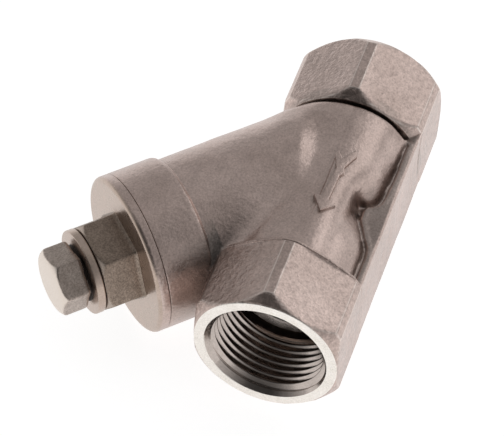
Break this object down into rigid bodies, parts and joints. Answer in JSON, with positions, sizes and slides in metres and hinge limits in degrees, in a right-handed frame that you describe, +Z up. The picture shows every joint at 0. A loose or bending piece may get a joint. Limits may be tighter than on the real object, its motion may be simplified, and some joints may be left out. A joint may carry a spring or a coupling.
{
  "type": "y strainer",
  "caption": "Threaded Y strainer: cast body with two hexagon pipe ends, angled screen branch, screwed cap with drain plug, and a removable screen basket.",
  "frame": {"origin": "where the axis of the pipe run crosses the axis of the screen branch", "axes": "+X along the run in the direction of flow, +Y towards the rib, +Z up as the part lies on its side; the branch points along +X -Y at 45 degrees"},
  "size_m": [0.0807, 0.0703, 0.0356],
  "materials": {
    "cast_steel": "investment-cast stainless steel, fine blasted grain, satin",
    "machined_steel": "turned stainless steel, satin",
    "screen_steel": "perforated stainless sheet and woven wire, satin",
    "ptfe": "white PTFE, matte"
  },
  "bodies": {
    "body": {"strainer_body": "cast_steel"},
    "basket": {"screen_sleeve": "screen_steel", "screen_mesh": "screen_steel", "screen_seat_ring": "machined_steel", "screen_end_ring": "machined_steel"},
    "cap_seal": {"cap_gasket": "ptfe"},
    "cap": {"screen_cap": "cast_steel"},
    "plug_seal": {"plug_gasket": "ptfe"},
    "plug": {"drain_plug": "machined_steel"}
  },
  "joints": [
    {"name": "basket_withdraw", "type": "slide", "parent": "body", "child": "basket", "axis": [0.7071, -0.7071, 0], "range_m": [0, 0.055]},
    {"name": "cap_travel", "type": "slide", "parent": "basket", "child": "cap_seal", "axis": [0.7071, -0.7071, 0], "range_m": [0, 0.0076]},
    {"name": "cap_turn", "type": "hinge", "parent": "cap_seal", "child": "cap", "pos_m": [0.03535, -0.03535, 0], "axis": [0.7071, -0.7071, 0], "range_deg": [0, 1800]},
    {"name": "plug_travel", "type": "slide", "parent": "cap", "child": "plug_seal", "axis": [0.7071, -0.7071, 0], "range_m": [0, 0.00812]},
    {"name": "plug_turn", "type": "hinge", "parent": "plug_seal", "child": "plug", "pos_m": [0.04313, -0.04313, 0], "axis": [0.7071, -0.7071, 0], "range_deg": [0, 2160]}
  ],
  "couplings": [
    {"joint": "cap_travel", "follows": "cap_turn", "m_per_rad": 0.00023873},
    {"joint": "plug_travel", "follows": "plug_turn", "m_per_rad": 0.00021279}
  ]
}
